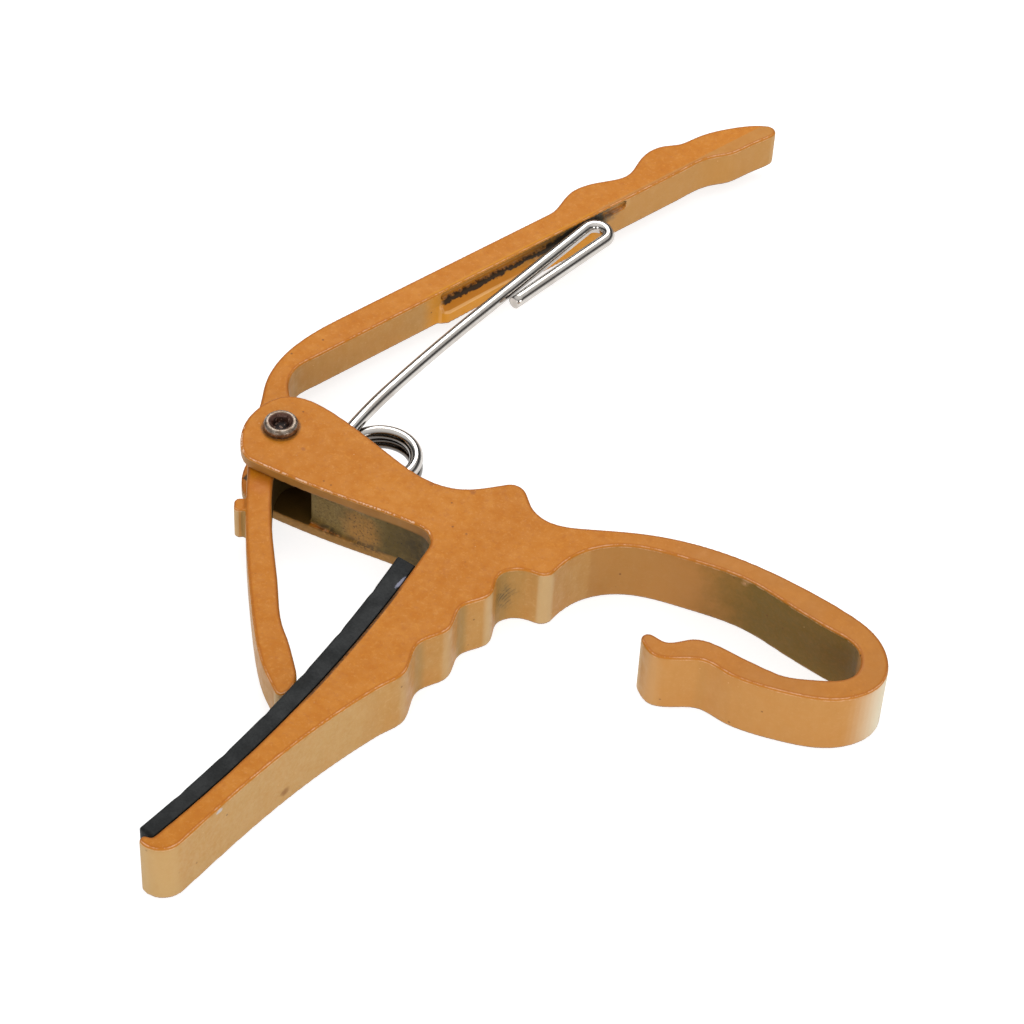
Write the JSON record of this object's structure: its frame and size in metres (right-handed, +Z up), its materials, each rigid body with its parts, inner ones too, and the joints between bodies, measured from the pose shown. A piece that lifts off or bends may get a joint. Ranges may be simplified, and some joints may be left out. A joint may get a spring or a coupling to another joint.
{
  "type": "guitar capo",
  "caption": "Spring-loaded trigger capo lying on its side, with a padded curved string bar, a pivoting lever handle and a curled tail.",
  "frame": {"origin": "centre of the whole capo's bounding box, at the height of the side face it lies on", "axes": "+Z up through the thickness, along the pivot axis; +Y towards the tip of the lever handle; +X towards the curled tail"},
  "size_m": [0.0996, 0.1646, 0.0112],
  "materials": {
    "frame_casting": "worn ochre-orange enamel, satin",
    "lever_casting": "worn ochre-orange enamel, satin",
    "torsion_spring": "polished nickel-plated spring wire",
    "string_pad": "matt charcoal rubber",
    "pad_adhesive": "thin film of contact adhesive",
    "pivot_screw": "turned steel, dirty hexagon socket",
    "thrust_washer_lower": "plain steel shim",
    "thrust_washer_upper": "plain steel shim"
  },
  "bodies": {
    "frame": {"frame_casting": "frame_casting", "string_pad": "string_pad", "pad_adhesive": "pad_adhesive", "pivot_screw": "pivot_screw", "thrust_washer_lower": "thrust_washer_lower", "thrust_washer_upper": "thrust_washer_upper"},
    "lever": {"lever_casting": "lever_casting"},
    "spring": {"torsion_spring": "torsion_spring"}
  },
  "joints": [
    {"name": "lever_pivot", "type": "hinge", "parent": "frame", "child": "lever", "pos_m": [-0.03996, -0.01563, 0.005], "axis": [0, 0, 1], "range_deg": [-40, 0], "stiffness_Nm_per_rad": 1.7, "springref_deg": 26.93},
    {"name": "spring_flex", "type": "hinge", "parent": "frame", "child": "spring", "pos_m": [-0.02836, -0.00893, 0.005], "axis": [0, 0, 1], "range_deg": [-49.3, 0], "deforming": ["torsion_spring"]}
  ],
  "couplings": [
    {"joint": "spring_flex", "follows": "lever_pivot", "ratio": 1.22}
  ]
}
